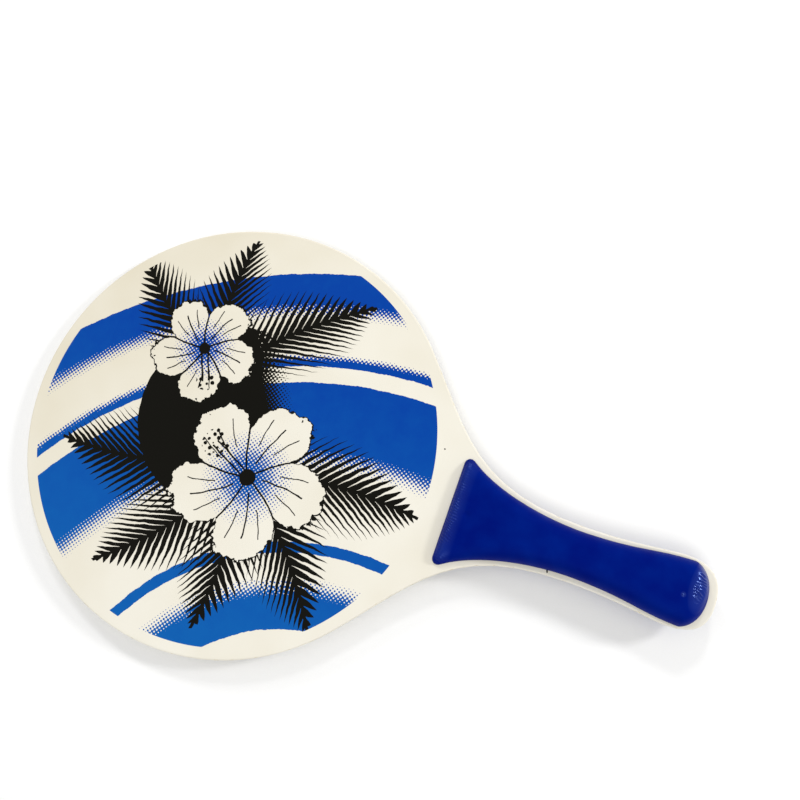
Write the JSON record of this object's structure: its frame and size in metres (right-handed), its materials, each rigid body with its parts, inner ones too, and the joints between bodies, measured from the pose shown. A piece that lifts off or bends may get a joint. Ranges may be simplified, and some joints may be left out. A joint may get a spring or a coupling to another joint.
{
  "type": "frescobol racket",
  "caption": "Round-bladed plywood beach racket: a flat painted board whose neck runs into a waisted handle with a crowned, wrapped wooden scale nailed to each face.",
  "frame": {"origin": "centre of the round blade, on its front face", "axes": "+X along the handle to its butt, +Z out of the front face, +Y across the blade"},
  "size_m": [0.3853, 0.24, 0.024],
  "materials": {
    "painted_face": "satin cream paint on plywood, with a printed design inside the blade",
    "painted_edge": "cream paint, thinner than on the faces, over plywood edges",
    "bare_wood": "bare planed softwood, hidden by the cover",
    "blue_vinyl": "dark royal blue leather-grained vinyl, satin",
    "steel": "bright drawn wire"
  },
  "bodies": {
    "root": {"front_face_veneer": "painted_face", "front_crossband": "painted_edge", "core_ply": "painted_edge", "rear_crossband": "painted_edge", "rear_face_veneer": "painted_face", "front_grip_core": "bare_wood", "rear_grip_core": "bare_wood", "front_grip_cover": "blue_vinyl", "rear_grip_cover": "blue_vinyl", "front_brad_blade_end": "steel", "front_brad_butt_end": "steel", "rear_brad_blade_end": "steel", "rear_brad_butt_end": "steel"}
  },
  "joints": []
}
